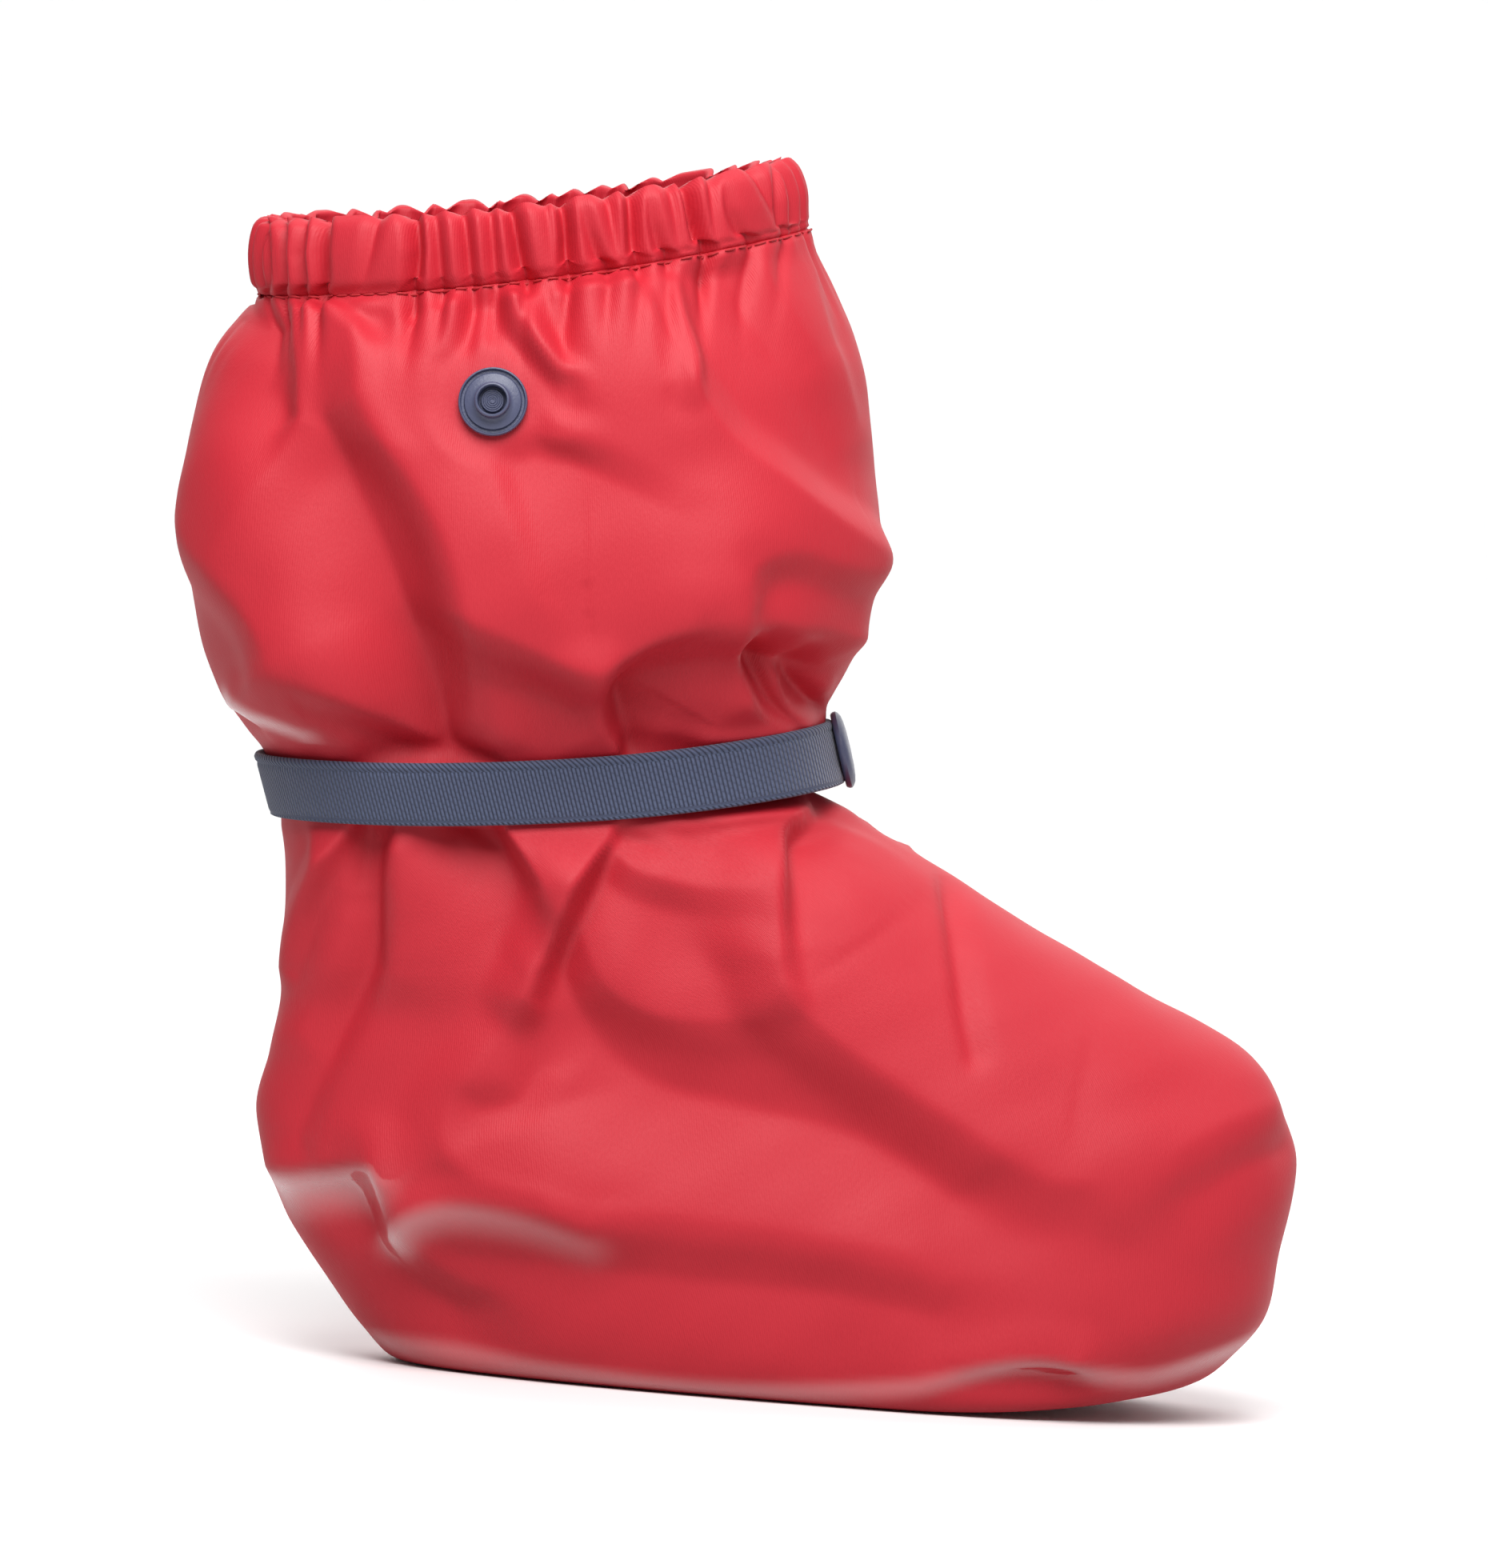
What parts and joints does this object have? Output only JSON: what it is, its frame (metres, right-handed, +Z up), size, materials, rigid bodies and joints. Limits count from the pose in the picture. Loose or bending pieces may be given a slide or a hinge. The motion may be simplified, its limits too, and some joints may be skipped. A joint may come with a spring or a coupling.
{
  "type": "rain overshoe",
  "caption": "Child's rain overshoe of red coated cloth with a gathered elastic collar, a bloused shaft cinched by an ankle strap with a front snap, and a lone snap stud on its outer side.",
  "frame": {"origin": "on the floor, at the middle of the sole panel's flat underside", "axes": "+X towards the toe, +Y to the wearer's left (the inner side of this right shoe), +Z up the shaft"},
  "size_m": [0.1829, 0.0808, 0.196],
  "materials": {
    "coated_red": "satin waterproof coating over a fine knit",
    "strap_navy": "matte woven elastic",
    "snap_navy": "satin moulded plastic"
  },
  "bodies": {
    "root": {"upper": "coated_red", "sole_panel": "coated_red", "ankle_strap": "strap_navy", "strap_snap_cap": "snap_navy", "strap_snap_socket": "snap_navy", "strap_snap_stud": "snap_navy", "strap_snap_back_cap": "snap_navy", "side_snap_stud": "snap_navy", "side_snap_cap": "snap_navy"}
  },
  "joints": []
}
